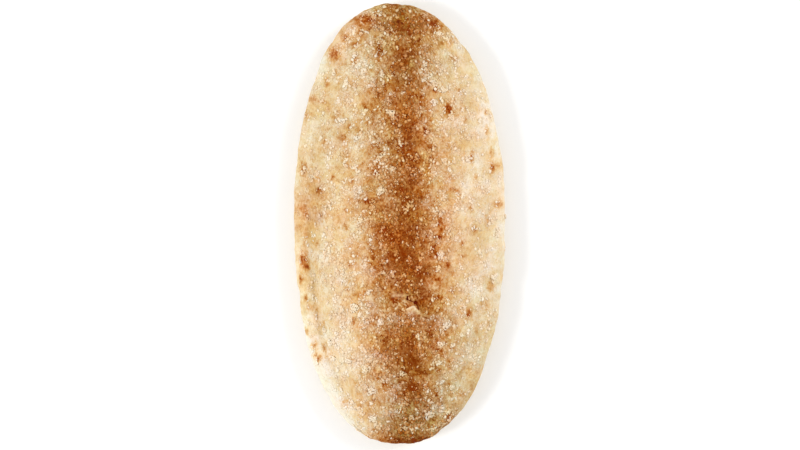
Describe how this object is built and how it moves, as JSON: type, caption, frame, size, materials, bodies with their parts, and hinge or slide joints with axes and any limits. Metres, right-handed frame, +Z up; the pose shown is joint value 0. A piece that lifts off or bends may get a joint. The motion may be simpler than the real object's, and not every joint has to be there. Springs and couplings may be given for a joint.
{
  "type": "pita pocket",
  "caption": "Whole, uncut oval pita pocket, puffed along its middle, with a soft rolled rim, a small tear in the crust and a dusting of coarse flour.",
  "frame": {"origin": "middle of the footprint, on the surface that the flat underside rests on", "axes": "+Z up through the puffed crown, +Y along the bread's length towards the end that is at the top of the picture, +X to the right in the picture"},
  "size_m": [0.091, 0.1898, 0.0308],
  "materials": {
    "baked_crust": "matte baked bread crust, cream at the sides and toasted brown along the crest, dusted with coarse flour"
  },
  "bodies": {
    "root": {"pita_bread": "baked_crust"}
  },
  "joints": []
}
